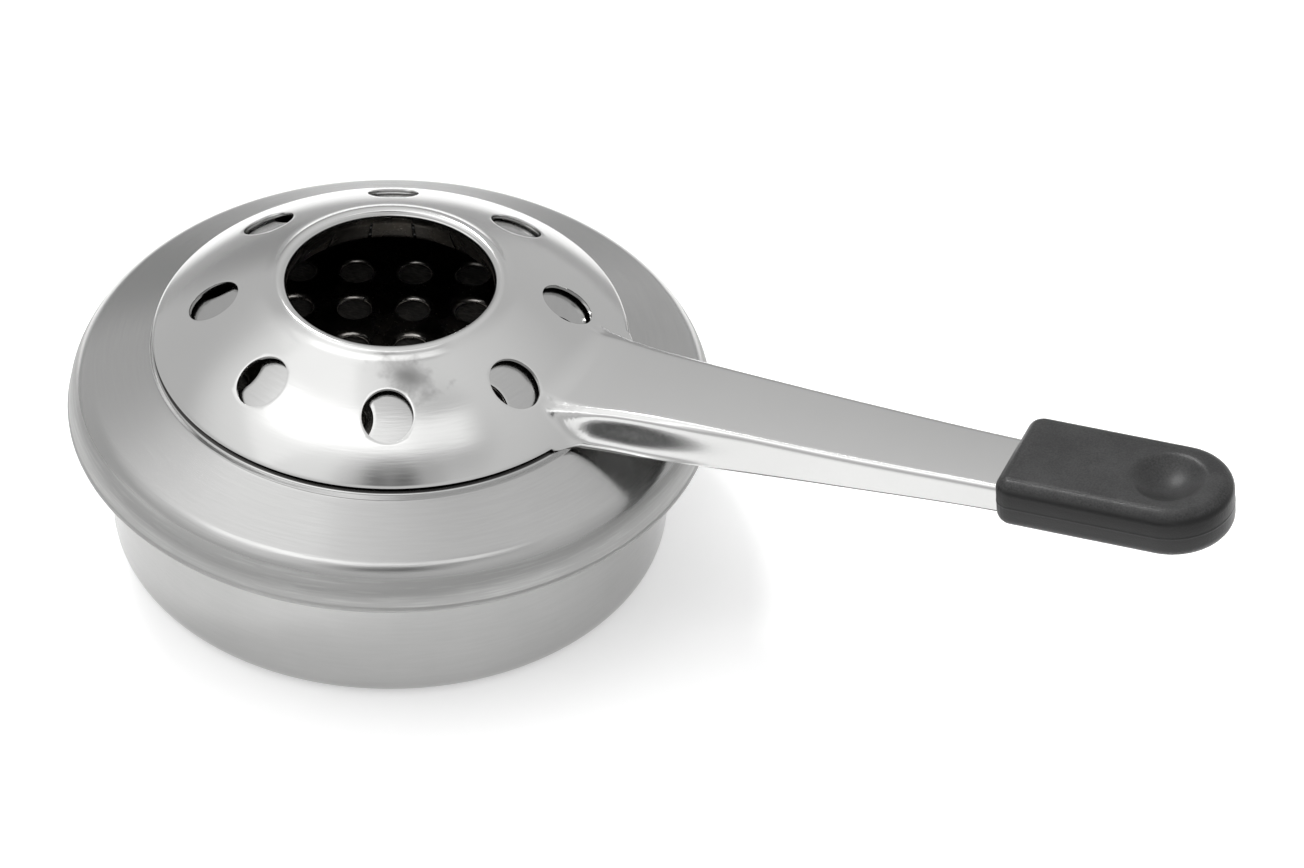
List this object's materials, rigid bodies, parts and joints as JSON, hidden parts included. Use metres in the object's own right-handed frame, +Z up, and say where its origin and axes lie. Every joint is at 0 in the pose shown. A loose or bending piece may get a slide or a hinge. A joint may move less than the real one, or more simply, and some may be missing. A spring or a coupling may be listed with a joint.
{
  "type": "fondue burner",
  "caption": "Spirit burner for fondue: a round steel fuel bowl under a crimped cover, with a domed air regulator that is turned by its handle to open or close the air vents.",
  "frame": {"origin": "on the burner's axis, at the underside of the fuel bowl", "axes": "+Z up along the axis, +X along the handle towards the grip"},
  "size_m": [0.1952, 0.1046, 0.0532],
  "materials": {
    "bowl_steel": "fine satin grain that runs round the turned parts",
    "regulator_steel": "satin polish",
    "sooted_steel": "darkened by the flame",
    "wadding": "loose mineral wool, soaked and grey",
    "grip_plastic": "black with a fine moulded grain"
  },
  "bodies": {
    "burner": {"fuel_bowl": "bowl_steel", "cover": "bowl_steel", "perforated_plate": "sooted_steel", "absorbent_pad": "wadding"},
    "regulator": {"air_regulator": "regulator_steel", "handle_grip": "grip_plastic"}
  },
  "joints": [
    {"name": "regulator_turn", "type": "hinge", "parent": "burner", "child": "regulator", "pos_m": [0, 0, 0.045], "axis": [0, 0, 1], "range_deg": [-13, 9.5]}
  ]
}
